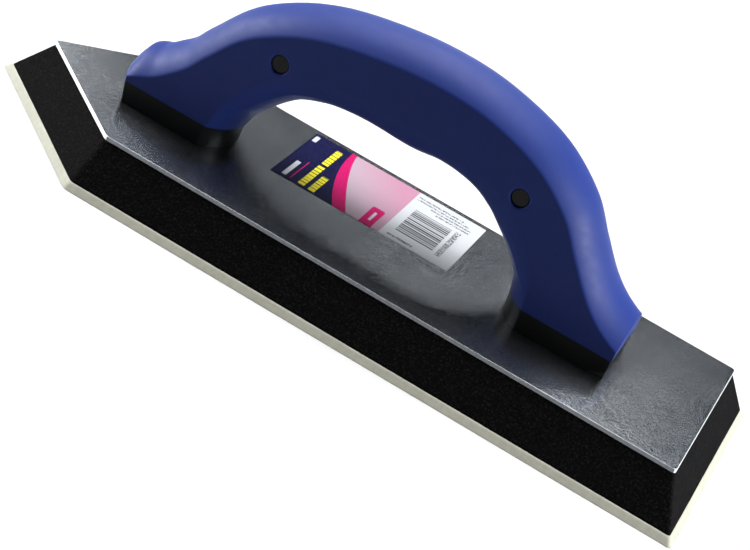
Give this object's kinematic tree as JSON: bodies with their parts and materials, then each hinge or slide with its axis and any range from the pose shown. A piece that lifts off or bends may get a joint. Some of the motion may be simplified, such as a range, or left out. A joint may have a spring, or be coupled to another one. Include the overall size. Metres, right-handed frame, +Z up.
{
  "type": "grout float",
  "caption": "Pointed grout float: rubber face on a flared black sponge block under a thin metal plate, with an arched soft-grip handle.",
  "frame": {"origin": "middle of the footprint, on the underside of the rubber face", "axes": "+X from the pointed end to the square heel, +Y to the label's side, +Z up out of the plate"},
  "size_m": [0.2767, 0.0954, 0.0868],
  "materials": {
    "gum_rubber": "matte cream gum rubber with fine cut marks on its sides",
    "black_sponge": "matte black closed-cell sponge, cut faces",
    "plate_metal": "satin, fine brushing and mottling, bright sheared edges",
    "label_print": "thin printed film label",
    "black_plastic": "hard black plastic, satin",
    "blue_grip": "mid-blue soft-touch rubber, matte with a soft sheen",
    "screw_steel": "zinc plated steel"
  },
  "bodies": {
    "root": {"rubber_face": "gum_rubber", "foam_core": "black_sponge", "backing_plate": "plate_metal", "label": "label_print", "handle_core": "black_plastic", "handle_grip": "blue_grip", "handle_screw_1": "screw_steel", "handle_screw_2": "screw_steel", "handle_screw_3": "screw_steel", "handle_screw_4": "screw_steel"}
  },
  "joints": []
}
